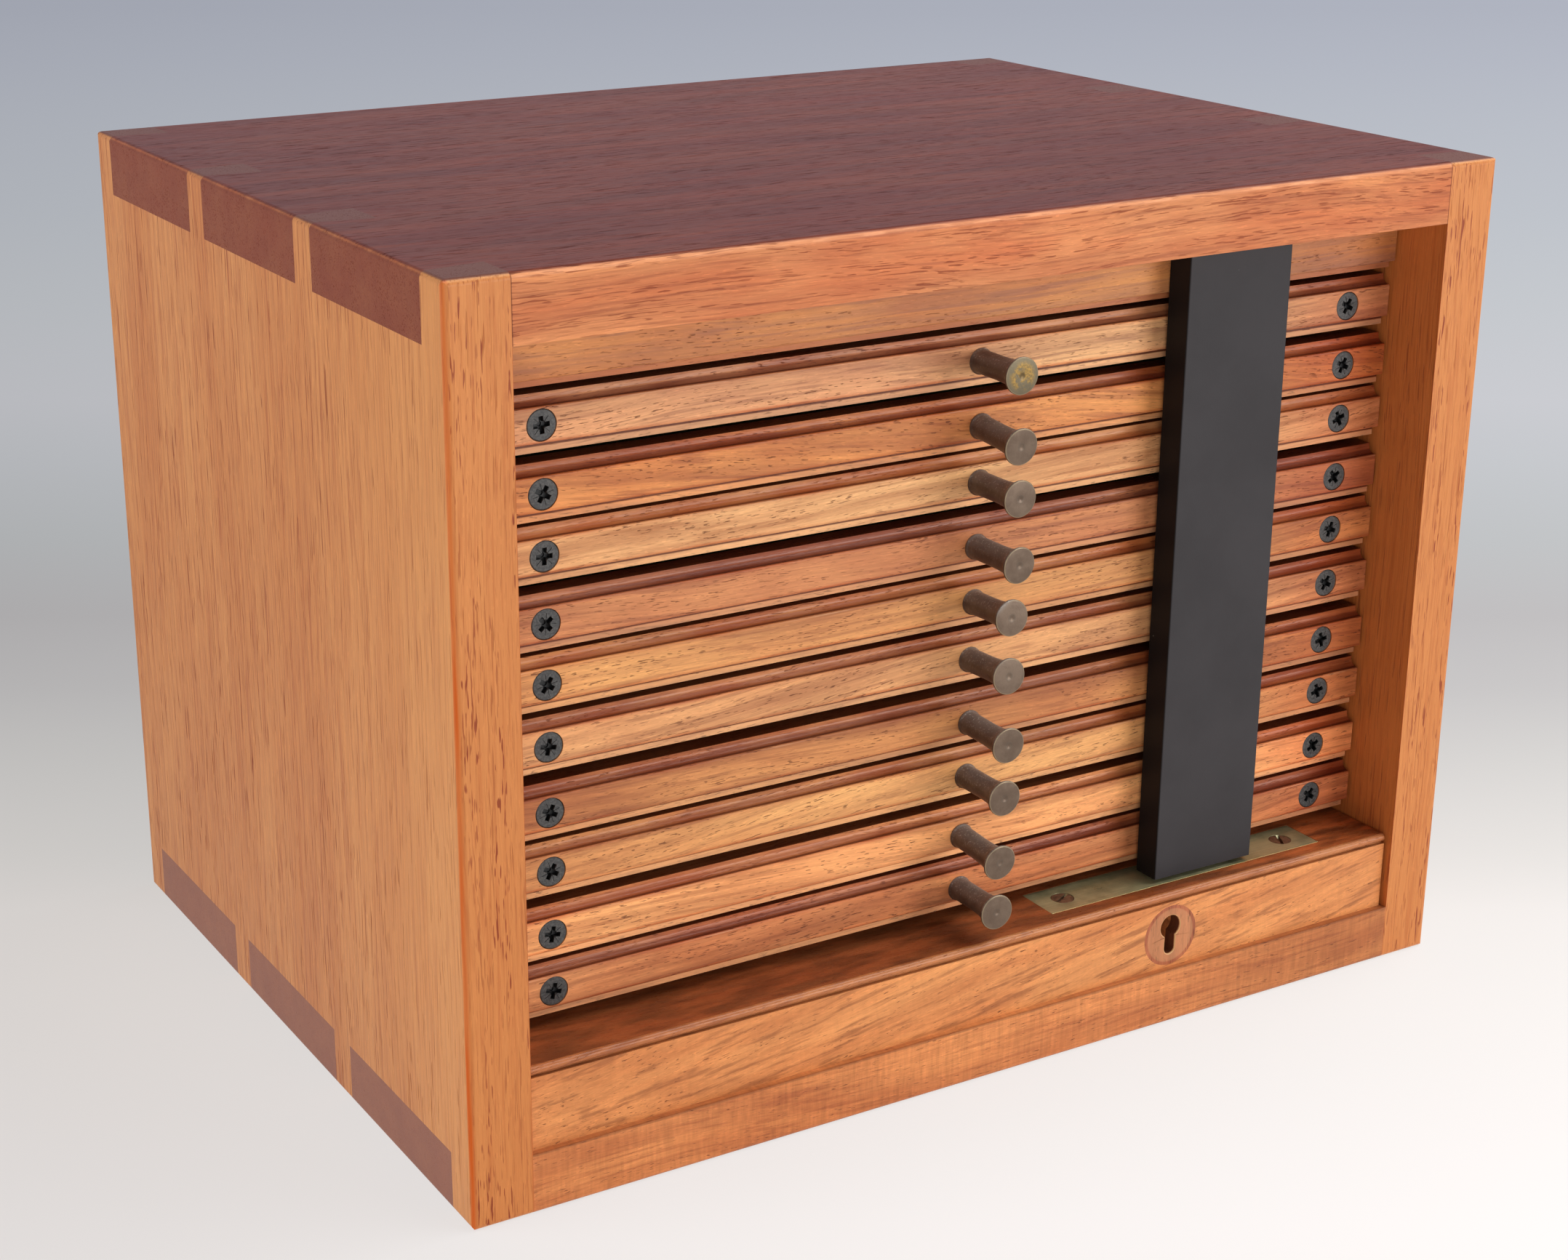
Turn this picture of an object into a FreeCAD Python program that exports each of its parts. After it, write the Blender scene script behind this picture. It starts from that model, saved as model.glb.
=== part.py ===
"""Coin collector's cabinet: a dovetailed wooden carcass with ten shallow trays and a locking bar.

Millimetres. X runs across the front, Y from the front to the back and Z up. The origin is the
middle of the underside. Every sub-part is one function, and a depth is measured from the carcass's
front plane. Each sub-part is written to parts/NAME.step.
"""
import FreeCAD
import Part
import math
import os

Vector = FreeCAD.Vector

# Carcass: four boards with through dovetails, pins on the sides and tails on the top and bottom
cabinet_width = 303.0
cabinet_depth = 226.0
cabinet_height = 228.0
board_thickness = 16.0
arris_radius = 1.6  # every outer edge of the closed carcass is rounded by hand
tail_count = 3
pin_width = 10.2  # at the outer face of the side
half_pin_width = 11.2
dovetail_slope = 1 / 8
back_thickness = 8.0
back_rebate = 6.0  # how far the back panel is let into each board

# Tray set
tray_count = 10
tray_gap = 1.96  # between two tray fronts
lowest_tray_gap = 2.56  # lock rail to the lowest tray front
highest_tray_gap = 2.1  # highest tray front to the fascia rail
tray_setback = 18.1  # carcass front to the flat of a tray front
front_end_gap = 1.0
# each front was offered up by hand, so it sits a little over or under its own board
front_rises = (0.1, -0.4, 0.5, -0.2, 0.5, 0.7, -0.3, 0.2, -0.6, 0.0)

# Tray front moulding, from the bottom up: lower lip, flat, quirk, cove and top lip. The flat
# takes the height that the others leave.
front_thickness = 8.0
lower_lip_height = 2.5
lower_lip_setback = 2.1
quirk_depth = 0.6
cove_radius = 2.0
top_lip_height = 0.6
edge_rounding = 0.4

# Tray board: three felt-lined troughs that run from side to side
tray_board_thickness = 8.2
tray_board_rise = 2.8  # underside of the front to underside of the board
tray_side_gap = 1.3
tray_back_gap = 0.5
trough_count = 3
trough_depth = 5.5
trough_rib = 4.0
end_rim = 6.0
side_rim = 8.0

# Runners: strips housed in the sides, which fit grooves in the tray boards' edges
runner_height = 3.0
runner_proud = 4.0
runner_housing = 2.0
running_gap = 0.3

# Tray knobs
knob_length = 17.9
knob_stem_radius = 3.05
knob_face_radius = 4.7
knob_rim = 0.6
knob_flare = 2.2  # length of the taper under the rim

# Blank rail under the top board
fascia_setback = 17.0
fascia_height = 14.7
fascia_thickness = 8.0
fascia_lip_height = 1.9

# Lock rail on the bottom board, with a bead along its top arris
rail_setback = 2.0
rail_height = 22.0
rail_depth = 31.0  # its top reaches back under the lowest tray
rail_end_gap = 0.9  # both rails stop a little short of the sides
bead_radius = 1.15
bead_quirk = 0.45

# Round wooden inlay with the keyhole
keyhole_from_side = 77.4  # measured, as the lock and the bar are, from the right side's inner face
inlay_radius = 8.75
inlay_thickness = 4.0
inlay_centre_height = 25.4
key_round_radius = 3.3
key_round_height = 27.9
key_slot_width = 3.5
key_slot_bottom = 19.8

# Lock: a selvedge let into the rail's top, the case under it, and a bolt that rises through it
selvedge_from_side = 20.5
selvedge_length = 93.0
selvedge_width = 13.4
selvedge_thickness = 2.0
selvedge_setback = 5.6  # from the lock rail's front
selvedge_behind_bolt = 0.3  # the selvedge lies a little behind the bolt's middle
case_length = 54.0
case_thickness = 8.0
case_height = 16.5
case_wall = 1.2
bolt_tongue_width = 12.0
bolt_thickness = 2.4
bolt_body_length = 26.0
bolt_body_height = 9.0
bolt_gap = 0.25
bolt_below_selvedge = 0.3
bolt_throw = 2.4  # the raised bolt still clears the lowest tray

# Locking bar: stands over the selvedge, with its head under the top board
bar_from_side = 45.0
bar_width = 33.3
bar_thickness = 8.1
bar_gap = 0.3
bar_foot_gap = 1.2  # above the selvedge
bar_arris = 0.4
strike_thickness = 2.0  # slotted plate under the bar's foot, which the bolt enters
strike_gap = 0.5  # around the bolt in the plate's slot
bar_pin_radius = 2.0
bar_pin_spacing = 20.0
bar_pin_in_bar = 4.0
bar_pin_in_fascia = 6.0
bar_pin_clearance = 0.06

# Derived places
front = -cabinet_depth / 2
back = cabinet_depth / 2
half_width = cabinet_width / 2
inner_half = half_width - board_thickness
floor_z = board_thickness
ceiling_z = cabinet_height - board_thickness
tail_width = (cabinet_depth - 2 * half_pin_width - (tail_count - 1) * pin_width) / tail_count
rail_top = floor_z + rail_height
lowest_tray = rail_top + lowest_tray_gap
highest_tray_top = ceiling_z - fascia_height - highest_tray_gap
tray_pitch = (highest_tray_top - lowest_tray + tray_gap) / tray_count
front_height = tray_pitch - tray_gap
flat_height = front_height - lower_lip_height - cove_radius - top_lip_height
front_half = inner_half - front_end_gap
tray_front_y = front + tray_setback
tray_board_y = tray_front_y + front_thickness
tray_back_y = back - back_thickness - tray_back_gap
tray_half = inner_half - tray_side_gap
groove_height = runner_height + 2 * running_gap
groove_depth = runner_proud - tray_side_gap + running_gap
fascia_y = front + fascia_setback
rail_y = front + rail_setback
keyhole_from_middle = inner_half - keyhole_from_side
selvedge_from_middle = inner_half - selvedge_from_side - selvedge_length / 2
selvedge_y = rail_y + selvedge_setback + selvedge_width / 2
selvedge_under = rail_top - selvedge_thickness
bar_from_middle = inner_half - bar_from_side - bar_width / 2
bar_back_y = fascia_y - bar_gap
bar_front_y = bar_back_y - bar_thickness
bar_foot = rail_top + bar_foot_gap
bar_head = ceiling_z - bar_gap
bar_pin_z = ceiling_z - fascia_height / 2 + fascia_lip_height / 2
bolt_y = selvedge_y - selvedge_behind_bolt
bolt_top = rail_top - bolt_below_selvedge
case_floor = selvedge_under - case_height
straight = 1e-6  # an edge whose direction strays less than this from an axis runs along it


def box(x0, x1, y0, y1, z0, z1):
    return Part.makeBox(x1 - x0, y1 - y0, z1 - z0, Vector(x0, y0, z0))


def along_x(section, x0, x1):
    """Extrude a closed YZ section, given as edges, from x0 to x1."""
    face = Part.Face(Part.Wire(Part.__sortEdges__(section)))
    face.translate(Vector(x0, 0, 0))
    return face.extrude(Vector(x1 - x0, 0, 0))


def edges_along(shape, axis):
    return [edge for edge in shape.Edges if edge.tangentAt(0).cross(axis).Length < straight]


def line(a, b):
    return Part.LineSegment(Vector(0, *a), Vector(0, *b)).toShape()


def corner(before, tip, after, radius):
    """Round a right-angled corner of a YZ section. Returns the arc and its two ends."""
    tip, before, after = Vector(0, *tip), Vector(0, *before), Vector(0, *after)
    back_way = (before - tip).normalize() * radius
    on_way = (after - tip).normalize() * radius
    centre = tip + back_way + on_way
    middle = centre - (back_way + on_way).normalize() * radius
    arc = Part.Arc(tip + back_way, middle, tip + on_way).toShape()
    start, end = tip + back_way, tip + on_way
    return arc, (start.y, start.z), (end.y, end.z)


def turned_y(profile, x, y, z):
    """Turn a closed profile of (radius, distance) points about an axis along Y through x, z."""
    points = [Vector(x + radius, y + distance, z) for radius, distance in profile]
    face = Part.Face(Part.makePolygon(points + points[:1]))
    return face.revolve(Vector(x, y, z), Vector(0, 1, 0), 360)


def cylinder_y(x, z, radius, y0, y1):
    return Part.makeCylinder(radius, y1 - y0, Vector(x, y0, z), Vector(0, 1, 0))


def tray_level(tray):
    """Nominal underside of a tray's front, where tray 1 is the highest."""
    return lowest_tray + (tray_count - tray) * tray_pitch


def front_level(tray):
    return tray_level(tray) + front_rises[tray - 1]


def runner_level(tray):
    """Underside of the runner that carries a tray."""
    return tray_level(tray) + tray_board_rise + (tray_board_thickness - runner_height) / 2


def softened_block():
    """The outside of the whole carcass, with its arrises planed round in each direction."""
    block = box(-half_width, half_width, front, back, 0, cabinet_height)
    planed = []
    for axis in (Vector(1, 0, 0), Vector(0, 1, 0), Vector(0, 0, 1)):
        planed.append(block.makeFillet(arris_radius, edges_along(block, axis)))
    return planed[0].common(planed[1]).common(planed[2])


def back_rebate_space():
    edge = inner_half + back_rebate
    return box(-edge, edge, back - back_thickness, back,
               floor_z - back_rebate, ceiling_z + back_rebate)


def tails(side, z0):
    """The dovetails of one horizontal board at one side, widest at the outer face."""
    inner_x, outer_x = side * inner_half, side * half_width
    flare = board_thickness * dovetail_slope
    shapes = []
    for index in range(tail_count):
        near = front + half_pin_width + index * (tail_width + pin_width)
        far = near + tail_width
        plan = [Vector(inner_x, near + flare, z0), Vector(outer_x, near, z0),
                Vector(outer_x, far, z0), Vector(inner_x, far - flare, z0)]
        outline = Part.Face(Part.makePolygon(plan + plan[:1]))
        shapes.append(outline.extrude(Vector(0, 0, board_thickness)))
    return shapes


def side_board(side):
    edges = sorted((side * inner_half, side * half_width))
    board = box(*edges, front, back, 0, cabinet_height)
    board = board.cut(tails(side, 0) + tails(side, ceiling_z))
    board = board.common(softened_block()).cut(back_rebate_space())
    return board.cut(runners(side))


def flat_board(z0):
    """The top or bottom board, with tails at both ends."""
    board = box(-inner_half, inner_half, front, back, z0, z0 + board_thickness)
    board = board.fuse(tails(-1, z0) + tails(1, z0)).removeSplitter()
    return board.common(softened_block()).cut(back_rebate_space())


def runners(side):
    """The strips of one side, one for each tray."""
    edges = sorted((side * (inner_half - runner_proud), side * (inner_half + runner_housing)))
    strips = []
    for tray in range(1, tray_count + 1):
        z0 = runner_level(tray)
        strips.append(box(*edges, tray_board_y + running_gap, back - back_thickness,
                          z0, z0 + runner_height))
    return strips


def fascia_rail():
    z0 = ceiling_z - fascia_height
    lip_y = fascia_y + lower_lip_setback
    shoulder = (fascia_y, z0 + fascia_lip_height)
    inside = (lip_y, z0 + fascia_lip_height)
    arc, low, high = corner(inside, shoulder, (fascia_y, ceiling_z), edge_rounding)
    points = [high, (fascia_y, ceiling_z), (fascia_y + fascia_thickness, ceiling_z),
              (fascia_y + fascia_thickness, z0), (lip_y, z0), inside, low]
    section = [arc] + [line(a, b) for a, b in zip(points, points[1:])]
    half = inner_half - rail_end_gap
    rail = along_x(section, -half, half)
    for x in bar_pin_places():
        rail = rail.cut(cylinder_y(x, bar_pin_z, bar_pin_radius + bar_pin_clearance,
                                   fascia_y, fascia_y + bar_pin_in_fascia + running_gap))
    return rail


def lock_rail():
    top_y = rail_y + bead_radius
    bead_foot = rail_top - 2 * bead_radius
    centre = Vector(0, top_y, rail_top - bead_radius)
    bead = Part.Arc(Vector(0, top_y, bead_foot), centre - Vector(0, bead_radius, 0),
                    Vector(0, top_y, rail_top)).toShape()
    points = [(top_y, rail_top), (rail_y + rail_depth, rail_top), (rail_y + rail_depth, floor_z),
              (rail_y, floor_z), (rail_y, bead_foot - bead_quirk),
              (top_y, bead_foot - bead_quirk), (top_y, bead_foot)]
    section = [bead] + [line(a, b) for a, b in zip(points, points[1:])]
    half = inner_half - rail_end_gap
    rail = along_x(section, -half, half)
    rail = rail.cut([selvedge_blank(), case_blank(), inlay_blank(), keyhole()])
    return rail


def keyhole():
    """The space the key needs, from the inlay's face to the back of the case's chamber."""
    y0 = rail_y
    y1 = bolt_y + bolt_thickness / 2 + bolt_gap
    half_slot = key_slot_width / 2
    slot_round = key_slot_bottom + half_slot
    x = keyhole_from_middle
    hole = cylinder_y(x, key_round_height, key_round_radius, y0, y1)
    slot = box(x - half_slot, x + half_slot, y0, y1, slot_round, key_round_height)
    end = cylinder_y(x, slot_round, half_slot, y0, y1)
    return hole.fuse([slot, end]).removeSplitter()


def inlay_blank():
    return cylinder_y(keyhole_from_middle, inlay_centre_height, inlay_radius, rail_y,
                      rail_y + inlay_thickness)


def keyhole_inlay():
    return inlay_blank().cut(keyhole())


def selvedge_blank():
    half = selvedge_width / 2
    return box(selvedge_from_middle - selvedge_length / 2, selvedge_from_middle + selvedge_length / 2,
               selvedge_y - half, selvedge_y + half, selvedge_under, rail_top)


def lock_selvedge():
    half = bolt_tongue_width / 2 + bolt_gap
    thick = bolt_thickness / 2 + bolt_gap
    slot = box(bar_from_middle - half, bar_from_middle + half, bolt_y - thick, bolt_y + thick,
               selvedge_under, rail_top)
    return selvedge_blank().cut(slot)


def case_blank():
    half = case_thickness / 2
    return box(selvedge_from_middle - case_length / 2, selvedge_from_middle + case_length / 2,
               selvedge_y - half, selvedge_y + half, case_floor, selvedge_under)


def bolt_body_ends():
    """The bolt's body reaches from beside the tongue towards the key."""
    right = bar_from_middle + bolt_tongue_width / 2
    return right - bolt_body_length, right


def lock_case():
    x0, x1 = bolt_body_ends()
    thick = bolt_thickness / 2 + bolt_gap
    chamber = box(x0 - bolt_gap, x1 + bolt_gap, bolt_y - thick, bolt_y + thick,
                  case_floor + case_wall, selvedge_under)
    return case_blank().cut([chamber, keyhole()])


def lock_bolt():
    """A flat body with a talon for the key, and the tongue that enters the bar's foot."""
    x0, x1 = bolt_body_ends()
    thick = bolt_thickness / 2
    body_foot = case_floor + case_wall + bolt_gap
    body_top = body_foot + bolt_body_height
    talon_width = bolt_body_height / 3
    outline = [(x0, body_foot), (x1, body_foot), (x1, bolt_top),
               (x1 - bolt_tongue_width, bolt_top), (x1 - bolt_tongue_width, body_top),
               (x0 + 2 * talon_width, body_top), (x0 + 2 * talon_width, body_foot + talon_width),
               (x0 + talon_width, body_foot + talon_width), (x0 + talon_width, body_top),
               (x0, body_top)]
    points = [Vector(x, bolt_y - thick, z) for x, z in outline]
    return Part.Face(Part.makePolygon(points + points[:1])).extrude(Vector(0, 2 * thick, 0))


def bar_pin_places():
    return (bar_from_middle - bar_pin_spacing / 2, bar_from_middle + bar_pin_spacing / 2)


def bar_pins():
    """Dowel pins in the back of the bar's head, which enter the fascia rail."""
    return [cylinder_y(x, bar_pin_z, bar_pin_radius, bar_back_y - bar_pin_in_bar,
                       fascia_y + bar_pin_in_fascia) for x in bar_pin_places()]


def bar_length(z0, z1):
    """A length of the bar's section, with its upright edges rounded."""
    bar = box(bar_from_middle - bar_width / 2, bar_from_middle + bar_width / 2,
              bar_front_y, bar_back_y, z0, z1)
    return bar.makeFillet(bar_arris, edges_along(bar, Vector(0, 0, 1)))


def locking_bar():
    return bar_length(bar_foot + strike_thickness, bar_head).cut(bar_pins())


def bar_strike():
    """The plate under the bar's foot, with the slot that the bolt's tongue enters."""
    half = bolt_tongue_width / 2 + strike_gap
    thick = bolt_thickness / 2 + strike_gap
    middle = bar_from_middle
    slot = box(middle - half, middle + half, bolt_y - thick, bolt_y + thick,
               bar_foot, bar_foot + strike_thickness)
    return bar_length(bar_foot, bar_foot + strike_thickness).cut(slot)


def tray_front(tray):
    z0 = front_level(tray)
    flat_foot = z0 + lower_lip_height
    flat_head = flat_foot + flat_height
    top = z0 + front_height
    lip_y = tray_front_y + lower_lip_setback
    cove_y = tray_front_y + quirk_depth
    top_lip_y = cove_y + cove_radius
    back_y = tray_front_y + front_thickness
    inside = (lip_y, flat_foot)
    lower, low_start, low_end = corner(inside, (tray_front_y, flat_foot),
                                       (tray_front_y, flat_head), edge_rounding)
    upper, up_start, up_end = corner((tray_front_y, flat_foot), (tray_front_y, flat_head),
                                     (cove_y, flat_head), edge_rounding)
    slant = cove_radius * math.sqrt(0.5)
    cove_z = flat_head + cove_radius
    cove = Part.Arc(Vector(0, cove_y, flat_head), Vector(0, cove_y + slant, cove_z - slant),
                    Vector(0, top_lip_y, cove_z)).toShape()
    section = [lower, upper, cove,
               line(low_end, up_start), line(up_end, (cove_y, flat_head)),
               line((top_lip_y, cove_z), (top_lip_y, top)), line((top_lip_y, top), (back_y, top)),
               line((back_y, top), (back_y, z0)), line((back_y, z0), (lip_y, z0)),
               line((lip_y, z0), inside), line(inside, low_start)]
    return along_x(section, -front_half, front_half)


def trough_places():
    """Front and back of each trough in a tray board."""
    inside = tray_back_y - tray_board_y - 2 * end_rim - (trough_count - 1) * trough_rib
    width = inside / trough_count
    starts = [tray_board_y + end_rim + n * (width + trough_rib) for n in range(trough_count)]
    return [(start, start + width) for start in starts]


def tray_board(tray):
    z0 = tray_level(tray) + tray_board_rise
    z1 = z0 + tray_board_thickness
    board = box(-tray_half, tray_half, tray_board_y, tray_back_y, z0, z1)
    reach = tray_half - side_rim
    cuts = [box(-reach, reach, y0, y1, z1 - trough_depth, z1) for y0, y1 in trough_places()]
    groove_z = runner_level(tray) - running_gap
    for side in (-1, 1):
        edges = sorted((side * tray_half, side * (tray_half - groove_depth)))
        cuts.append(box(*edges, tray_board_y, tray_back_y, groove_z, groove_z + groove_height))
    return board.cut(cuts)


def knob_level(tray):
    return front_level(tray) + lower_lip_height + flat_height / 2


def tray_knob(tray):
    """A turned knob: a straight stem, a flare and a thin flat face."""
    rim = knob_length - knob_rim
    profile = [(0, 0), (knob_stem_radius, 0), (knob_stem_radius, knob_flare - rim),
               (knob_face_radius, -rim), (knob_face_radius, -knob_length), (0, -knob_length)]
    return turned_y(profile, 0, tray_front_y, knob_level(tray))


def export(name, shape):
    """Write one sub-part. A list becomes one file of separate solids."""
    solids = shape if isinstance(shape, list) else [shape]
    for solid in solids:
        if not solid.isValid() or len(solid.Solids) != 1:
            raise ValueError(name + " isn't one valid solid")
    Part.makeCompound(solids).exportStep("parts/" + name + ".step")


def main():
    os.makedirs("parts", exist_ok=True)
    export("left_side", side_board(-1))
    export("right_side", side_board(1))
    export("top_board", flat_board(ceiling_z))
    export("bottom_board", flat_board(0))
    export("back_panel", back_rebate_space())
    export("runners_left", runners(-1))
    export("runners_right", runners(1))
    export("fascia_rail", fascia_rail())
    export("lock_rail", lock_rail())
    export("keyhole_inlay", keyhole_inlay())
    export("lock_selvedge", lock_selvedge())
    export("lock_case", lock_case())
    export("lock_bolt", lock_bolt())
    export("locking_bar", locking_bar())
    export("bar_pins", bar_pins())
    export("bar_strike", bar_strike())
    for tray in range(1, tray_count + 1):
        name = "tray_%02d_" % tray
        export(name + "front", tray_front(tray))
        export(name + "board", tray_board(tray))
        export(name + "knob", tray_knob(tray))


main()
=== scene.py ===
import bpy, bmesh, math, random
from mathutils import Matrix, Vector


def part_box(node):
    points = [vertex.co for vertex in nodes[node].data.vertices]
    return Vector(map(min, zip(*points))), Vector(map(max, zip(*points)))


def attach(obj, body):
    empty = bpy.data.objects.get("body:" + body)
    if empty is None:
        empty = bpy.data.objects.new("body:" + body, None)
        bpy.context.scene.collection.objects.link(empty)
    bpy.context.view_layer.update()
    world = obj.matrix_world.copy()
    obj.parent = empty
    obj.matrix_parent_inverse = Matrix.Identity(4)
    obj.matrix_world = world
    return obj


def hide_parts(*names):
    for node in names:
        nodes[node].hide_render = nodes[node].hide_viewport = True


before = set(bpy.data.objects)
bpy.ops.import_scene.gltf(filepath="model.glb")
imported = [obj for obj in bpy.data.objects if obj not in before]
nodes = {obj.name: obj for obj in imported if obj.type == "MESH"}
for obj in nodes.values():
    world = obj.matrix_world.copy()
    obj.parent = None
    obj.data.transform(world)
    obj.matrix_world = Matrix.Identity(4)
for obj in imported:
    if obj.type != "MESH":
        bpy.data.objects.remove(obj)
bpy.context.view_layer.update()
mm = 0.001
fineEdge = 0.0001  # how far a sharp change of colour is softened, in metres
random.seed(12)
print("cabinet frame loaded:", len(nodes), "nodes")

# the camera stands a little above the cabinet and to its left
camera = {"place": (-0.38121, -0.61902, 0.34686), "turn": (70.657, -0.029, -30.349), "lens": 61.955,
          "sensor": 36, "shift": (0.04214, -0.00516), "nearest": 0.01}
cameraData = bpy.data.cameras.new("cabinetCamera")
cameraObject = bpy.data.objects.new("cabinetCamera", cameraData)
bpy.context.scene.collection.objects.link(cameraObject)
cameraObject.location = camera["place"]
cameraObject.rotation_euler = [math.radians(a) for a in camera["turn"]]
cameraData.lens, cameraData.sensor_width, cameraData.sensor_fit = camera["lens"], camera["sensor"], "HORIZONTAL"
cameraData.shift_x, cameraData.shift_y = camera["shift"]
cameraData.clip_start = camera["nearest"]
bpy.context.scene.camera = cameraObject
bpy.context.scene.view_settings.view_transform = "Standard"


def tint(red, green, blue):  # screen values 0-255 to the renderer's own
    out = [c / 255 for c in (red, green, blue)]
    return tuple(c / 12.92 if c <= 0.04045 else ((c + 0.055) / 1.055) ** 2.4 for c in out) + (1.0,)


class Wire:  # a socket of a material, for sums written as Python
    def __init__(self, kit, socket):
        self.kit, self.socket = kit, socket

    def sum(self, operation, *values):
        return self.kit.add("ShaderNodeMath", {"operation": operation}, values)

    def __add__(self, other): return self.sum("ADD", self, other)
    def __radd__(self, other): return self.sum("ADD", other, self)
    def __sub__(self, other): return self.sum("SUBTRACT", self, other)
    def __rsub__(self, other): return self.sum("SUBTRACT", other, self)
    def __mul__(self, other): return self.sum("MULTIPLY", self, other)
    def __rmul__(self, other): return self.sum("MULTIPLY", other, self)
    def __abs__(self): return self.sum("ABSOLUTE", self)

    def ease(self, low, high):  # 0 below low, 1 above high
        return self.kit.add("ShaderNodeMapRange", {"interpolation_type": "SMOOTHSTEP"},
                            {"Value": self, "From Min": low, "From Max": high})

    def within(self, low, high, soft):  # 1 between low and high
        return self.ease(low - soft, low + soft) * (1 - self.ease(high - soft, high + soft))

    def out(self, name):  # another output of the same node
        return Wire(self.kit, self.socket.node.outputs[name])


class Kit:  # the nodes of one material
    def __init__(self, name, owner=None):  # owner is the world, where it isn't a new material
        self.material = owner or bpy.data.materials.new(name)
        self.material.use_nodes = True
        self.tree = self.material.node_tree
        self.tree.nodes.clear()
        self.place = self.add("ShaderNodeTexCoord").out("Object")

    def add(self, kind, settings=None, values=()):  # settings first, then the values or links of its sockets
        node = self.tree.nodes.new(kind)
        for key, value in (settings or {}).items():
            if key == "stops":
                ramp = node.color_ramp
                while len(ramp.elements) < len(value):
                    ramp.elements.new(0.5)
                for element, (at, colour) in zip(ramp.elements, value):
                    element.position, element.color = at, colour
            else:
                setattr(node, key, value)
        for key, value in values.items() if isinstance(values, dict) else enumerate(values):
            if isinstance(value, Wire):
                self.tree.links.new(value.socket, node.inputs[key])
            else:
                node.inputs[key].default_value = value
        live = [socket for socket in node.outputs if socket.enabled]
        return Wire(self, live[0]) if live else None

    def axes(self, vector=None):  # x, y and z, in metres
        x = self.add("ShaderNodeSeparateXYZ", {}, [vector or self.place])
        return x, x.out("Y"), x.out("Z")

    def noise(self, vector, scales, detail=2.0, rough=0.5):  # scales are repeats in a metre
        scales = scales if isinstance(scales, tuple) else (scales,) * 3
        stretched = self.add("ShaderNodeVectorMath", {"operation": "MULTIPLY"}, [vector, scales])
        return self.add("ShaderNodeTexNoise", {}, {"Vector": stretched, "Scale": 1.0, "Detail": detail,
                                                   "Roughness": rough})

    def mix(self, factor, first, second, blend="MIX"):
        return self.add("ShaderNodeMix", {"data_type": "RGBA", "blend_type": blend, "clamp_factor": True},
                        {0: factor, 6: first, 7: second})

    def shade(self, colour, amount):  # a colour times a number
        return self.mix(1.0, colour, self.add("ShaderNodeCombineXYZ", {}, [amount] * 3), "MULTIPLY")

    def radius(self, a, b):
        return self.add("ShaderNodeMath", {"operation": "SQRT"}, [a * a + b * b])

    def bump(self, height, distance, strength=1.0):
        return self.add("ShaderNodeBump", {}, {"Height": height, "Distance": distance, "Strength": strength})

    def finish(self, colour, rough, normal=None, **constants):  # constants are the same all over the surface
        values = {"Base Color": colour, "Roughness": rough, **constants}
        if normal:
            values["Normal"] = normal
        self.add("ShaderNodeOutputMaterial", {}, {"Surface": self.add("ShaderNodeBsdfPrincipled", {}, values)})
        return self.material


# wood: screen colours, and patterns as repeats in a metre, first along the grain and then across it
plainWood = {
    "along": "X", "tilt": 0.0, "seed": 0.0, "sway": (9, 22), "swayBy": 0.009, "wander": 1.0,
    "pale": (214, 150, 92), "warm": (186, 116, 66), "deep": (128, 70, 42), "pore": (84, 40, 24),
    "cloud": (14, 60), "band": (5, 190), "bandShare": 0.5, "streak": (20, 900), "streakShare": 0.42,
    "fibre": (110, 3000), "fibreShare": 0.24, "pores": (360, 3300), "poreShare": 0.74, "poreLevel": 0.625,
    "poreGroup": (24, 380), "fleck": (900, 150), "fleckShare": 0.0, "glint": (420, 2900), "glintShare": 0.16,
    "rough": 0.4, "shine": 0.22, "bump": 0.0001,
}


def woodGrain(kit, look):  # turned so that x runs along the grain
    turn = {"X": (0, 0, 0), "Y": (0, 0, -90), "Z": (0, 90, 0)}[look["along"]]
    seed = look["seed"]
    turned = kit.add("ShaderNodeMapping", {}, {"Vector": kit.place, "Rotation": [math.radians(a) for a in turn],
                                               "Location": (seed * 0.37, seed * 0.11, seed * 0.23)})
    slope = kit.add("ShaderNodeMapping", {}, {"Vector": turned, "Rotation": (
        0, math.radians(look["tilt"]), math.radians(look["tilt"] * 0.7))})
    along, across = look["sway"]
    sway = (kit.noise(slope, (along, across, across), 1.0) - 0.5) * (look["swayBy"] * look["wander"])
    x, y, z = kit.axes(slope)
    return kit.add("ShaderNodeCombineXYZ", {}, [x, y + sway, z + sway])


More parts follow.
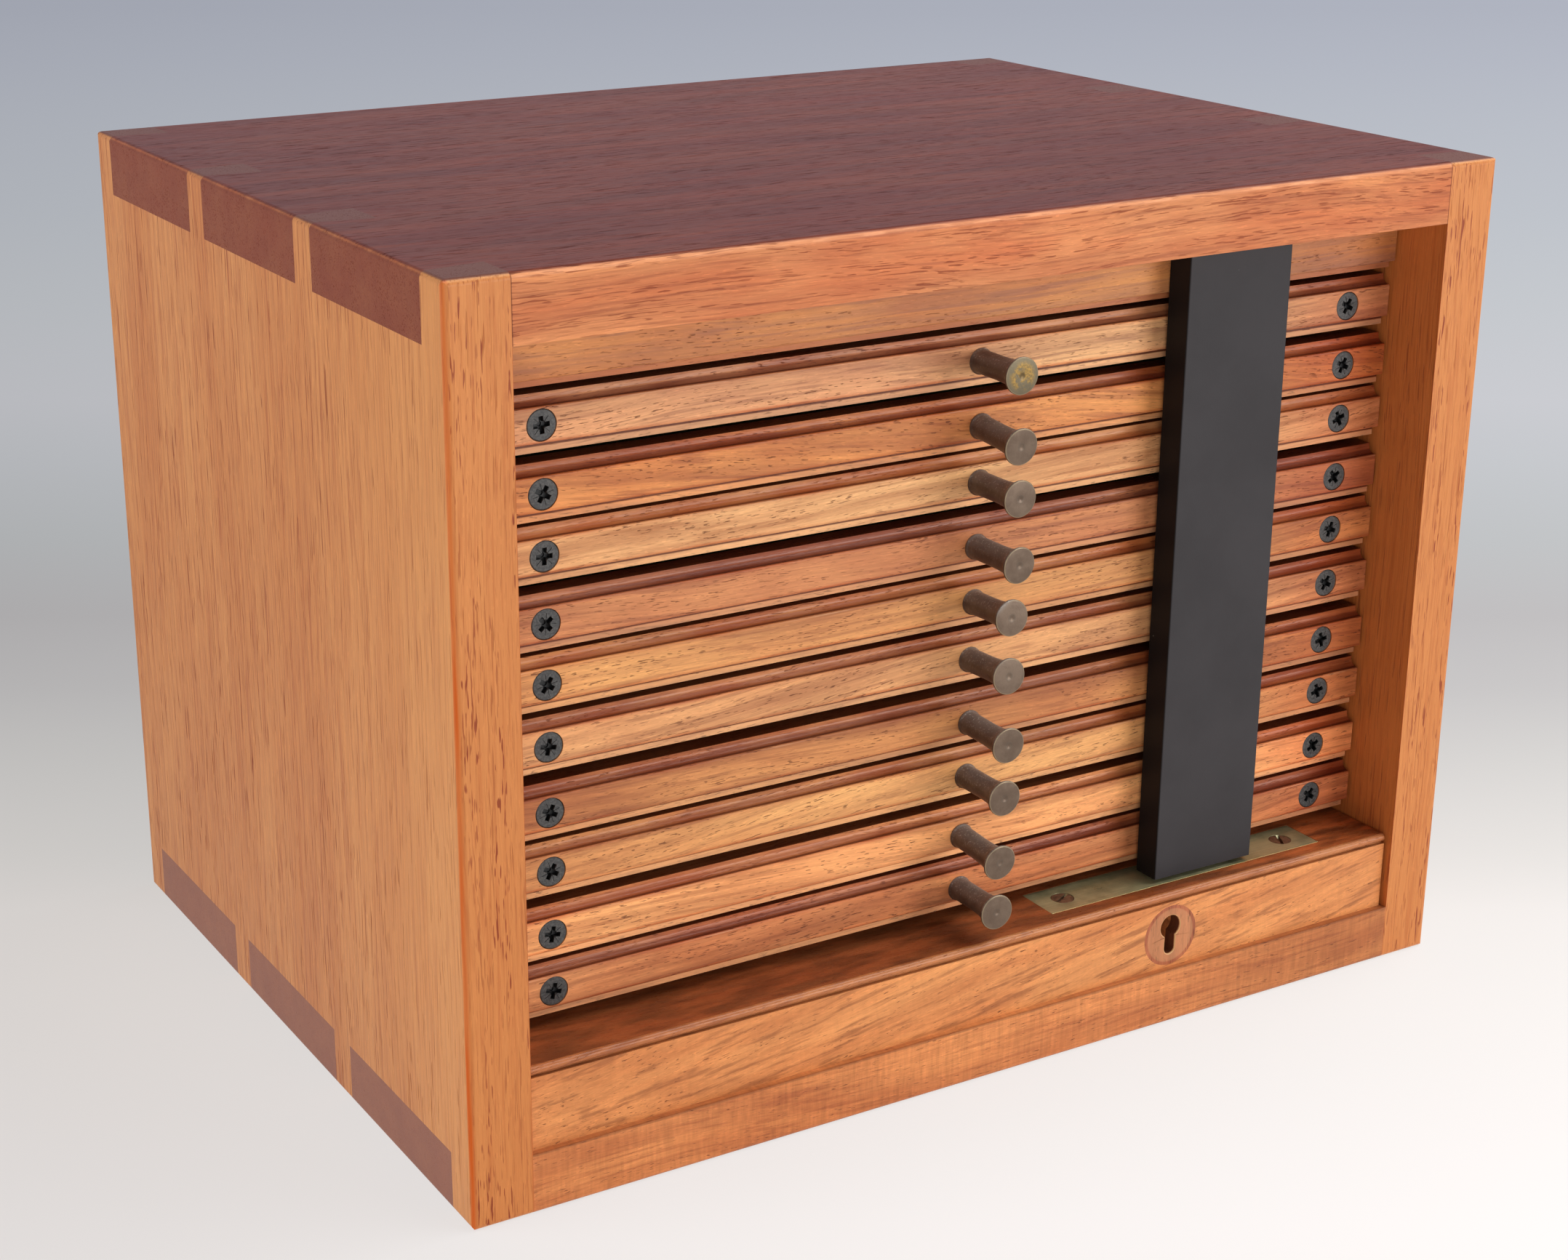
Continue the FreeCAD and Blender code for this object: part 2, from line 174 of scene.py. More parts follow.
def woodPattern(kit, look):
    grain = woodGrain(kit, look)

    def layer(key, detail, rough):
        along, across = look[key]
        return kit.noise(grain, (along, across, across), detail, rough)

    fibre = layer("fibre", 2.0, 0.6)
    group = layer("poreGroup", 2.0, 0.5).ease(0.4, 0.62)
    pore = layer("pores", 1.0, 0.5).ease(look["poreLevel"], look["poreLevel"] + 0.05) * (group * 0.75 + 0.25)
    colour = kit.mix(layer("cloud", 3.0, 0.6).ease(0.3, 0.7), tint(*look["pale"]), tint(*look["warm"]))
    colour = kit.mix(layer("band", 3.0, 0.6).ease(0.38, 0.64) * look["bandShare"], colour, tint(*look["deep"]))
    colour = kit.mix(layer("streak", 2.0, 0.55).ease(0.5, 0.68) * look["streakShare"], colour, tint(*look["deep"]))
    tone = 1 + (fibre - 0.5) * look["fibreShare"] * 2
    tone = tone + layer("glint", 1.0, 0.5).ease(0.62, 0.72) * look["glintShare"]
    if look["fleckShare"]:
        tone = tone + (layer("fleck", 2.0, 0.6) - 0.5) * look["fleckShare"]
    colour = kit.mix(pore * look["poreShare"], kit.shade(colour, tone), tint(*look["pore"]))
    return colour, fibre, pore


def wood(name, changes, paint=None):  # paint adds what the board's own place gives it
    look = dict(plainWood, **changes)
    kit = Kit(name)
    colour, fibre, pore = woodPattern(kit, look)
    rough = look["rough"] + (fibre - 0.5) * 0.2 + pore * 0.25
    if paint:
        colour, rough = paint(kit, colour, rough)
    return kit.finish(colour, rough, kit.bump(fibre * 0.4 - pore, look["bump"], 0.7),
                      **{"Specular IOR Level": look["shine"]})


def dress(name, material):
    mesh = nodes[name].data
    mesh.materials.clear()
    mesh.materials.append(material)


# carcass: the colours of its faces follow their places on the boards, which are in metres
carcass = {
    "inside": 0.1356, "front": (-0.11295, -0.1126), "arris": (0.1497, 0.1505),
    "arrisFront": (-0.1128, -0.1117, 0.0003), "joint": (0.1353, 0.1358), "ends": (0.1508, 0.1514),
    "sideTop": (0.2275, 0.2279), "upper": (0.2274, 0.2279), "topFront": (-0.1129, -0.1117),
    "wearAndHighlightLine": (0.2268, 0.2275, 0.0002), "paintedLightReach": (-0.112, -0.02), "seam": (0.0152, 0.0158),
    "seamFront": (-0.113, -0.112), "rightReach": (0.03, 0.13), "rightShade": 0.22,
    "innerShade": (236, 202, 178), "topStainAndShade": (146, 102, 96), "frontGlow": (190, 115, 58),
    "nearPaintedLight": (228, 160, 92), "arrisHighlight": (200, 88, 16), "arrisWearAndHighlight": (232, 162, 118), "jointLine": (70, 34, 22),
    "seamLine": (96, 46, 28), "tailColour": (117, 55, 39), "footTail": (134, 82, 66), "pinColour": (97, 50, 42),
    "dashColour": (128, 48, 22), "dashes": (1900, 1900, 170), "chains": (260, 260, 18),
    "wearMarks": (160, 900, 900), "topStreaks": (7, 70, 70),
    "sides": {"along": "Z", "pale": (206, 138, 80), "warm": (196, 125, 69), "deep": (156, 74, 36),
              "pore": (126, 52, 30), "cloud": (5, 45), "band": (9, 430), "bandShare": 0.2, "streak": (30, 1300),
              "streakShare": 0.5, "pores": (80, 2100), "poreLevel": 0.61, "poreShare": 0.8, "wander": 0.5},
    "topBoard": {"seed": 7.0, "pale": (216, 142, 90), "warm": (194, 109, 66), "deep": (132, 66, 44), "shine": 0.13,
                 "pore": (120, 54, 36), "band": (6, 150), "bandShare": 0.3, "streak": (14, 1000), "streakShare": 0.42,
                 "pores": (140, 2600), "poreLevel": 0.58, "poreShare": 0.7},
    "bottomBoard": {"seed": 9.0, "pale": (212, 137, 80), "warm": (188, 112, 63), "deep": (138, 68, 40),
                    "bandShare": 0.3, "streakShare": 0.4, "fleck": (850, 110), "fleckShare": 0.6,
                    "poreLevel": 0.66},
    "back": {"along": "Z", "seed": 11.0, "pale": (190, 126, 80), "warm": (164, 100, 62)},
    "runners": {"along": "Y", "seed": 12.0},
}


def sidePaint(sign):  # -1 for the left side and 1 for the right
    def paint(kit, colour, rough):
        c = carcass
        x, y, z = kit.axes()
        outer = x * sign
        inner = 1 - outer.ease(c["inside"] - fineEdge, c["inside"] + fineEdge)
        front = 1 - y.ease(*c["front"])
        arris = y.within(*c["arrisFront"]) * outer.ease(*c["arris"])
        dash = kit.noise(kit.place, c["dashes"], 1.0).ease(0.6, 0.66)
        chain = kit.noise(kit.place, c["chains"], 2.0).ease(0.46, 0.62)
        # painted light: the side faces are lighter towards the front
        colour = kit.mix((1 - y.ease(*c["paintedLightReach"])) * (1 - front) * 0.3, colour, tint(*c["nearPaintedLight"]))
        colour = kit.mix(front * 0.5, colour, tint(*c["frontGlow"]))
        colour = kit.mix(front * dash * (chain * 0.75 + 0.15), colour, tint(*c["dashColour"]))
        # painted highlight on the rounded front arris, strong on the left side and faint on the right
        colour = kit.mix(arris * (0.65 + chain * 0.35) * (1.0 if sign < 0 else 0.2), colour, tint(*c["arrisHighlight"]))
        # painted shade: the sides' inner faces, in the recess, are darkened and reddened
        colour = kit.mix(inner, colour, tint(*c["innerShade"]), "MULTIPLY")
        return kit.mix(z.ease(*c["sideTop"]) * 0.92, colour, tint(*c["pinColour"])), rough - inner * 0.05
    return paint


def topPaint(kit, colour, rough):
    c = carcass
    x, y, z = kit.axes()
    face = 1 - y.ease(*c["topFront"])
    upper = z.ease(*c["upper"])
    ends = abs(x).ease(*c["ends"])
    wear = kit.noise(kit.place, c["wearMarks"], 3.0).ease(0.45, 0.7)
    streaks = kit.noise(kit.place, c["topStreaks"], 3.0, 0.65)
    # the top face is darker from stain and from painted shade, as little light falls on it
    stainedAndShaded = kit.shade(kit.mix(1.0, colour, tint(*c["topStainAndShade"]), "MULTIPLY"), 1 + (streaks - 0.5) * 0.6)
    colour = kit.mix(upper, colour, stainedAndShaded)
    # a pale line of wear and painted highlight along the top's front arris
    line = z.within(*c["wearAndHighlightLine"]) * face
    colour = kit.mix(line * (0.35 + wear * 0.5), colour, tint(*c["arrisWearAndHighlight"]))
    colour = kit.mix(ends * 0.85, colour, tint(*c["tailColour"]))
    joint = abs(x).within(*c["joint"], fineEdge) * face
    return kit.mix(joint * 0.7, colour, tint(*c["jointLine"])), rough - upper * 0.06


def bottomPaint(kit, colour, rough):
    c = carcass
    x, y, z = kit.axes()
    ends = abs(x).ease(*c["ends"])
    seam = z.ease(*c["seam"]) * (1 - y.ease(*c["seamFront"]))
    colour = kit.mix(ends * 0.85, colour, tint(*c["footTail"]))
    # painted shade: darker towards the right end
    colour = kit.shade(colour, 1 - x.ease(*c["rightReach"]) * c["rightShade"])
    return kit.mix(seam * 0.5, colour, tint(*c["seamLine"])), rough


dress("left_side", wood("leftSideWood", dict(carcass["sides"], seed=1.0), sidePaint(-1)))
dress("right_side", wood("rightSideWood", dict(carcass["sides"], seed=4.0), sidePaint(1)))
dress("top_board", wood("topWood", carcass["topBoard"], topPaint))
dress("bottom_board", wood("bottomWood", carcass["bottomBoard"], bottomPaint))
dress("back_panel", wood("backWood", carcass["back"]))
runnerWood = wood("runnerWood", carcass["runners"])
dress("runners_left", runnerWood)
dress("runners_right", runnerWood)
print("carcass dressed")

# the blank rail above the trays and the lock rail below them
rails = {
    "fascia": {"seed": 13.0, "pale": (202, 136, 76), "warm": (176, 109, 62), "deep": (124, 80, 68),
               "cloud": (18, 50), "bandShare": 0.4, "poreLevel": 0.645},
    "lock": {"seed": 15.0, "tilt": 8.0, "pale": (220, 148, 88), "warm": (202, 126, 72), "deep": (126, 70, 40),
             "cloud": (12, 80), "band": (7, 300), "bandShare": 0.24, "streak": (8, 620), "streakShare": 0.56,
             "fleck": (820, 110), "fleckShare": 0.2, "poreLevel": 0.66},
    "shelfTop": (0.0378, 0.03795), "shelfFront": (-0.1099, -0.1096), "beadFoot": (0.0355, 0.0357),
    "beadBack": (-0.1098, -0.1094), "quirk": (0.0352, 0.0356, 0.00012), "quirkBack": (-0.1096, -0.1094),
    "rightReach": (0.03, 0.12), "footBand": 0.0014, "footLineWidth": 0.0004,
    "blotches": (60, 240, 240), "shelfShade": (96, 42, 20), "shelfLight": (150, 74, 38), "shelfLitRight": (196, 100, 50),
    "beadColour": (136, 74, 46), "quirkShade": (104, 50, 28), "footShade": (164, 92, 58), "footLine": (88, 44, 30),
}


def lockRailPaint(kit, colour, rough):  # painted shade makes the shelf behind the bead dark, with painted light towards its right end; it is glossy, and the bead has its own worn shine
    r = rails
    x, y, z = kit.axes()
    shelf = z.ease(*r["shelfTop"]) * y.ease(*r["shelfFront"])
    bead = z.ease(*r["beadFoot"]) * (1 - y.ease(*r["beadBack"]))
    quirk = z.within(*r["quirk"]) * (1 - y.ease(*r["quirkBack"]))
    blotch = kit.noise(kit.place, r["blotches"], 3.0, 0.6).ease(0.35, 0.7)
    # painted light: the shelf grows lighter towards its right end
    shine = kit.mix(x.ease(*r["rightReach"]), tint(*r["shelfLight"]), tint(*r["shelfLitRight"]))
    colour = kit.mix(shelf * 0.85, colour, kit.mix(blotch, tint(*r["shelfShade"]), shine))
    colour = kit.mix(bead * 0.5, colour, tint(*r["beadColour"]))
    # painted shade in the quirk under the bead
    return kit.mix(quirk * 0.4, colour, tint(*r["quirkShade"])), rough - shelf * 0.1 - bead * 0.12


def fasciaPaint(kit, colour, rough):  # a redder band along its foot, painted shade, under a fine dark line
    z = kit.axes()[2]
    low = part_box("fascia_rail")[0].z + rails["footBand"]
    high = low + rails["footLineWidth"]
    colour = kit.mix((1 - z.ease(low - fineEdge, low + fineEdge)) * 0.6, colour, tint(*rails["footShade"]))
    return kit.mix(z.within(low, high, fineEdge) * 0.7, colour, tint(*rails["footLine"])), rough


dress("fascia_rail", wood("fasciaWood", rails["fascia"], fasciaPaint))
dress("lock_rail", wood("lockRailWood", rails["lock"], lockRailPaint))
print("rails dressed")


def newPiece(name, bm, material, smooth=False):
    mesh = bpy.data.meshes.new(name)
    bm.to_mesh(mesh)
    bm.free()
    for face in mesh.polygons:
        face.use_smooth = smooth
    mesh.materials.append(material)
    obj = bpy.data.objects.new(name, mesh)
    bpy.context.scene.collection.objects.link(obj)
    return obj


def cutAway(obj, cutter):  # the cutter is used up
    tool = obj.modifiers.new("cut", "BOOLEAN")
    tool.operation, tool.object, tool.solver = "DIFFERENCE", cutter, "EXACT"
    mesh = bpy.data.meshes.new_from_object(obj.evaluated_get(bpy.context.evaluated_depsgraph_get()))
    old, obj.data = obj.data, mesh
    obj.modifiers.clear()
    bpy.data.meshes.remove(old)
    bpy.data.objects.remove(cutter)


def toMetres(obj):
    bm = bmesh.new()
    bm.from_mesh(obj.data)
    scaled(bm)
    bm.to_mesh(obj.data)
    bm.free()


def scaled(bm, where=(0, 0, 0)):  # millimetres to metres, then put in place
    bmesh.ops.scale(bm, vec=(mm, mm, mm), verts=bm.verts)
    bmesh.ops.translate(bm, vec=[c * mm for c in where], verts=bm.verts)


def spun(profile, steps=48, axis="Y", where=(0, 0, 0)):  # a turned shape from (radius, along) points
    bm = bmesh.new()
    verts = [bm.verts.new((r, a, 0) if axis == "Y" else (r, 0, a)) for r, a in profile]
    edges = [bm.edges.new(pair) for pair in zip(verts, verts[1:])]
    bmesh.ops.spin(bm, geom=verts + edges, cent=(0, 0, 0), axis=(0, 1, 0) if axis == "Y" else (0, 0, 1),
                   angle=2 * math.pi, steps=steps, use_merge=True)
    bmesh.ops.remove_doubles(bm, verts=bm.verts, dist=0.001)
    bmesh.ops.recalc_face_normals(bm, faces=bm.faces)
    bmesh.ops.translate(bm, vec=where, verts=bm.verts)
    return bm


def block(sizes, where, turn=0.0, axis="Y"):  # a box round its middle
    bm = bmesh.new()
    bmesh.ops.create_cube(bm, size=1.0)
    bmesh.ops.scale(bm, vec=sizes, verts=bm.verts)
    bmesh.ops.rotate(bm, cent=(0, 0, 0), matrix=Matrix.Rotation(turn, 3, axis), verts=bm.verts)
    bmesh.ops.translate(bm, vec=where, verts=bm.verts)
    return bm


def bevelled(bm, edges, offset, segments=3):
    bmesh.ops.bevel(bm, geom=edges, affect="EDGES", offset=offset, segments=segments, profile=0.5, material=-1)


# tray fronts: lower lip, flat, quirk, hollow cove and top lip, with a countersunk hole at each end
trayFront = {"halfLength": 134.5, "flat": -94.9, "thick": 8.0, "lip": 2.5, "lipBack": 2.1, "quirk": 0.6,
             "cove": 2.0, "crest": 0.6, "round": 0.4, "screwX": 119.95, "hole": 3.85, "holeDeep": 2.6,
             "patches": (35, 160, 160), "wearMarks": (45, 300, 300), "shadeReach": (0.07, 0.125),
             "rimDarkening": (222, 168, 140), "paintedShade": (234, 200, 192), "wearAndHighlight": (238, 188, 140),
             "cornerShadow": (78, 30, 16), "lidShade": (66, 27, 16)}
# where its colour changes, in millimetres in from the flat's face, or up from the flat's foot or head
frontZones = {"behind": (0.3, 0.62), "hollow": (-0.3, -0.1), "halfUp": (0.85, 1.1), "footRim": (-0.1, 0.7, 0.4),
              "headRim": (-1.1, 0.0), "lid": (2.2, 2.5), "lidBehind": (2.5, 3.1), "corner": (-1.05, 0.02, 0.16),
              "cornerBehind": (1.2, 2.0), "seam": (-0.1, 0.12, 0.08), "lip": (-1.25, -1.05),
              "lipBehind": (2.5, 2.8), "arris": (-0.42, -0.12, 0.12), "arrisBehind": (0.25, 0.4)}
# each cove colour is the painted shade of that tray's cove
trayWoods = [  # from the top tray down
    {"pale": (232, 176, 120), "warm": (214, 150, 104), "deep": (120, 66, 50), "cove": (118, 70, 58), "tilt": 1.0},
    {"pale": (222, 148, 84), "warm": (204, 122, 66), "deep": (128, 62, 40), "cove": (128, 72, 54), "tilt": -5.0},
    {"pale": (226, 170, 114), "warm": (214, 154, 102), "deep": (150, 88, 50), "cove": (180, 112, 64), "tilt": 2.0},
    {"pale": (206, 138, 88), "warm": (186, 116, 74), "deep": (124, 64, 46), "cove": (112, 62, 50), "tilt": -1.5},
    {"pale": (224, 162, 98), "warm": (202, 136, 82), "deep": (134, 76, 50), "cove": (162, 96, 58), "tilt": 0.8},
    {"pale": (230, 170, 112), "warm": (202, 138, 90), "deep": (126, 70, 46), "cove": (150, 86, 54), "tilt": 2.5},
    {"pale": (210, 144, 86), "warm": (188, 118, 70), "deep": (124, 68, 44), "cove": (134, 76, 50), "tilt": -1.8},
    {"pale": (230, 170, 106), "warm": (208, 142, 86), "deep": (134, 78, 48), "cove": (158, 94, 58), "tilt": 4.0},
    {"pale": (252, 188, 120), "warm": (236, 160, 100), "deep": (146, 80, 46), "cove": (162, 94, 56), "tilt": -2.0},
    {"pale": (226, 158, 102), "warm": (202, 122, 74), "deep": (120, 62, 40), "cove": (126, 70, 50), "tilt": 1.2},
]
trayCount = len(trayWoods)


def frontPaint(foot, head, coveShade):  # heights of the flat's edges, in millimetres
    def paint(kit, colour, rough):
        t = trayFront
        x, y, z = kit.axes()

        def past(axis, base, key):
            low, high = frontZones[key]
            return axis.ease((base + low) * mm, (base + high) * mm)

        def strip(base, key):
            low, high, soft = frontZones[key]
            return z.within((base + low) * mm, (base + high) * mm, soft * mm)

        patch = kit.noise(kit.place, t["patches"], 2.0).ease(0.35, 0.7)
        worn = kit.noise(kit.place, t["wearMarks"], 2.0).ease(0.5, 0.72)
        behind = past(y, t["flat"], "behind")
        hollow = behind * past(z, head, "hollow")
        lower = hollow * (1 - past(z, head, "halfUp"))
        rim = strip(foot, "footRim") + past(z, head, "headRim")
        shaded = x.ease(*t["shadeReach"])
        lid = past(z, head, "lid") * past(y, t["flat"], "lidBehind")
        corner = strip(foot, "corner") * past(y, t["flat"], "cornerBehind")
        seam = strip(head, "seam") * behind
        lip = (1 - past(z, foot, "lip")) * (1 - past(y, t["flat"], "lipBehind"))
        arris = strip(head, "arris") * (1 - past(y, t["flat"], "arrisBehind"))
        # painted shade: the cove is darkened, most in its lower half
        colour = kit.mix(hollow * (0.18 + patch * 0.2) + lower * 0.45, colour, tint(*coveShade))
        # darker and redder near the flat's top and bottom edges
        colour = kit.mix(rim * (0.3 + patch * 0.5), colour, tint(*t["rimDarkening"]), "MULTIPLY")
        # painted shade: the right end of each front is darker and redder
        colour = kit.mix(shaded, colour, tint(*t["paintedShade"]), "MULTIPLY")
        # wear and painted highlight on the flat's top arris, and painted light on the lower lip
        colour = kit.mix(arris * worn * 0.25 + lip * 0.25, colour, tint(*t["wearAndHighlight"]))
        # painted shadow on the lip under the flat's edge, and painted shade in the seam under the cove
        colour = kit.mix(corner * 0.9 + seam * 0.7, colour, tint(*t["cornerShadow"]))
        # painted shade on the front's top surface, in the gap between trays
        return kit.mix(lid * 0.8, colour, tint(*t["lidShade"])), rough - hollow * 0.1
    return paint


def mouldedOutline(bm, foot, top):  # the moulding's end, as one closed face
    t = trayFront
    x, back, lip = -t["halfLength"], t["flat"] + t["thick"], t["flat"] + t["lipBack"]
    flatFoot, flatHead, inner = foot + t["lip"], top - t["crest"] - t["cove"], t["flat"] + t["quirk"]
    start = bm.verts.new((x, inner, flatHead))
    swept = bmesh.ops.spin(bm, geom=[start], cent=(x, inner, flatHead + t["cove"]), axis=(1, 0, 0),
                           angle=math.pi / 2, steps=8)
    end = [v for v in swept["geom_last"] if isinstance(v, bmesh.types.BMVert)][0]
    corners = [(inner + t["cove"], top), (back, top), (back, foot), (lip, foot), (lip, flatFoot),
               (t["flat"], flatFoot), (t["flat"], flatHead)]
    ring = [end] + [bm.verts.new((x, y, z)) for y, z in corners] + [start]
    for pair in zip(ring, ring[1:]):
        bm.edges.new(pair)
    bmesh.ops.contextual_create(bm, geom=bm.edges[:])
    return flatFoot, flatHead


def makeFront(index):
    t, look = trayFront, trayWoods[index]
    name = "tray_%02d" % (index + 1)
    low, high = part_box(name + "_front")
    bm = bmesh.new()
    flatFoot, flatHead = mouldedOutline(bm, low.z / mm, high.z / mm)
    made = bmesh.ops.extrude_face_region(bm, geom=bm.faces[:], use_keep_orig=True)
    moved = [g for g in made["geom"] if isinstance(g, bmesh.types.BMVert)]
    bmesh.ops.translate(bm, vec=(2 * t["halfLength"], 0, 0), verts=moved)
    bmesh.ops.recalc_face_normals(bm, faces=bm.faces)
    soft = [e for e in bm.edges if abs(e.verts[0].co.x - e.verts[1].co.x) > 1
            and abs(e.verts[0].co.y - t["flat"]) < 0.01]
    bevelled(bm, soft, t["round"], 4)
    material = wood(name + "Wood", dict(look, seed=20 + index * 1.7), frontPaint(flatFoot, flatHead, look["cove"]))
    front = newPiece(name + "_moulded_front", bm, material)
    middle = (flatFoot + flatHead) / 2
    for side in (-1, 1):
        hole = spun([(0, -1), (t["hole"], -1), (t["hole"], t["holeDeep"]), (0, t["holeDeep"])], 40,
                    where=(side * t["screwX"], t["flat"], middle))
        cutAway(front, newPiece("cutter", hole, material))
    toMetres(front)
    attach(front, name)
    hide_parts(name + "_front")
    return middle


trayMiddles = [makeFront(index) for index in range(trayCount)]
print("tray fronts made")

# front screws: flush black heads with a cross recess and four fine ticks between its arms
screw = {"head": 3.72, "bevel": 0.2, "bevelDeep": 0.15, "edge": 0.4, "shank": 1.9, "cone": 1.9, "sunk": 0.06,
         "arm": 2.1, "armWidth": 1.2, "core": 1.35, "deep": 1.5, "tick": 2.7, "tickWidth": 0.16, "tickDeep": 0.2,
         "dark": (46, 45, 44), "light": (76, 75, 72), "recess": (10, 9, 9), "recessFrom": 0.3, "recessTo": 0.7}


def blackSteel():
    kit = Kit("blackScrewSteel")
    speck = kit.noise(kit.place, 2200, 3.0)
    flat = trayFront["flat"]
    recess = kit.axes()[1].ease((flat + screw["recessFrom"]) * mm, (flat + screw["recessTo"]) * mm)
    colour = kit.mix(speck.ease(0.35, 0.75), tint(*screw["dark"]), tint(*screw["light"]))
    # painted shade inside the cross recess
    colour = kit.mix(recess, colour, tint(*screw["recess"]))
    return kit.finish(colour, 0.42 + (speck - 0.5) * 0.3, kit.bump(speck, 0.00003), Metallic=0.15)


screwSteel = blackSteel()


def makeScrewHead():
    s = screw
    foot = s["edge"] + s["cone"]
    head = newPiece("screwHead", spun([(0, 0), (s["head"] - s["bevel"], 0), (s["head"], s["bevelDeep"]),
                                       (s["head"], s["edge"]), (s["shank"], foot), (0, foot)]), screwSteel)
    tick = (s["tick"] * 2, s["tickDeep"] * 2, s["tickWidth"])
    arm = (s["arm"] * 2, s["deep"] * 2, s["armWidth"])
    for sizes, turn in ((tick, math.pi / 4), (tick, -math.pi / 4), (arm, 0.0), (arm, math.pi / 2)):
        cutAway(head, newPiece("cutter", block(sizes, (0, 0, 0), turn), screwSteel))
    core = spun([(0, -0.5), (s["core"], -0.5), (s["core"] * 0.4, s["deep"] + 0.3), (0, s["deep"] + 0.3)], 24)
    cutAway(head, newPiece("cutter", core, screwSteel))
    return head


def copied(source, name, turn, where, material, axis="Y"):  # the same shape, turned and put in place
    bm = bmesh.new()
    bm.from_mesh(source.data)
    bmesh.ops.rotate(bm, cent=(0, 0, 0), matrix=Matrix.Rotation(turn, 3, axis), verts=bm.verts)
    scaled(bm, where)
    return newPiece(name, bm, material)


screwHead = makeScrewHead()
for index, middle in enumerate(trayMiddles):
    for side, sideName in ((-1, "left"), (1, "right")):
        piece = copied(screwHead, "tray_%02d_screw_%s" % (index + 1, sideName), random.uniform(0, math.pi),
                       (side * trayFront["screwX"], trayFront["flat"] + screw["sunk"], middle), screwSteel)
        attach(piece, "tray_%02d" % (index + 1))
print("front screws:", len(screwHead.data.polygons), "faces each")
bpy.data.objects.remove(screwHead)

# turned knobs: foot ring, plain stem, hollow flare, rounded rim and a centre dimple, as (radius, distance out)
knob = {"rings": [(0, -0.02), (3.0, 0.0), (3.34, 0.06), (3.36, 0.5), (3.12, 0.78), (3.05, 1.2), (3.03, 8.5),
                  (3.08, 11.0), (3.22, 13.2), (3.5, 15.0), (3.92, 16.3), (4.4, 17.05), (4.64, 17.25), (4.7, 17.42),
                  (4.69, 17.7), (4.58, 17.87), (4.4, 17.9), (1.1, 17.9), (0.7, 17.88), (0.4, 17.76), (0, 17.72)],
        "stem": (66, 48, 38), "stemWorn": (88, 70, 56), "stemTopLight": (134, 124, 116), "speck": (190, 186, 176),
        "face": (90, 72, 57), "faceWorn": (102, 84, 68), "rim": (158, 140, 108), "brass": (150, 116, 50),
        "brassDull": (108, 86, 44), "brassRing": (84, 74, 54), "ringWorn": (108, 96, 72), "faceRing": (84, 74, 62),
        "dimple": (96, 76, 40), "sunk": 0.15, "faceOut": (0.0174, 0.0176), "faceEdge": (0.0046, 0.0047),
        "rimEdge": (0.00435, 0.0046), "ringAt": (0.0007, 0.0011, 0.0002), "wornReach": (0.0024, 0.0042),
        "dimpleEdge": (0.0006, 0.0011), "topLightRise": (0.0002, 0.0026)}
# how each was set by hand, from the top: across and up in millimetres, then swing and droop in degrees
knobSets = [(0.4, -0.2, -1.5, 0.3), (1.0, -0.6, -1.5, -3.5), (1.0, -0.3, -0.7, 0.7), (0.8, -0.7, 1.6, -0.5),
            (0.6, -0.4, -3.0, 3.6), (0.0, -0.3, -1.7, 3.6), (0.4, -0.9, -0.9, -1.1), (-0.1, -0.5, -1.1, 0.4),
            (-0.9, -0.7, -0.7, -2.8), (-1.0, -0.6, -1.7, 1.0)]


def knobMetal(name, root, swing, droop, worn):  # root is the middle of its foot, and a worn face shows brass
    kit = Kit(name)
    k = knob
    x, y, z = kit.axes()
    run = root[1] * mm - y
    up = z - run * math.tan(droop) - root[2] * mm
    radius = kit.radius(x - run * math.tan(swing) - root[0] * mm, up)
    face = run.ease(*k["faceOut"]) * (1 - radius.ease(*k["faceEdge"]))
    cloud = kit.noise(kit.place, 260, 4.0, 0.6)
    speck = kit.noise(kit.place, 1900, 3.0, 0.6)
    stem = kit.mix(cloud.ease(0.3, 0.7), tint(*k["stem"]), tint(*k["stemWorn"]))
    upper = up.ease(*k["topLightRise"])
    # painted highlight along the top of the stem, where light falls
    stem = kit.mix(upper * (0.35 + cloud * 0.6), stem, tint(*k["stemTopLight"]))
    # pale specks all over, more along the top as painted highlight
    stem = kit.mix(speck.ease(0.56, 0.68) * (0.08 + upper * 0.5), stem, tint(*k["speck"]))
    plate = kit.mix(cloud.ease(0.35, 0.65), tint(*k["face"]), tint(*k["faceWorn"]))
    plate = kit.mix(radius.within(*k["ringAt"]) * 0.35, plate, tint(*k["faceRing"]))
    if worn:
        brass = kit.mix(speck.ease(0.35, 0.65), tint(*k["brassDull"]), tint(*k["brass"]))
        ring = kit.mix(cloud, tint(*k["brassRing"]), tint(*k["ringWorn"]))
        plate = kit.mix((1 - radius.ease(*k["wornReach"])) * cloud.ease(0.36, 0.46), ring, brass)
        plate = kit.mix(1 - radius.ease(*k["dimpleEdge"]), plate, tint(*k["dimple"]))
    plate = kit.mix(radius.ease(*k["rimEdge"]) * 0.7, plate, tint(*k["rim"]))
    return kit.finish(kit.mix(face, stem, plate), 0.42 + (cloud - 0.5) * 0.3, kit.bump(speck, 0.00003),
                      Metallic=0.15 + face * 0.35)


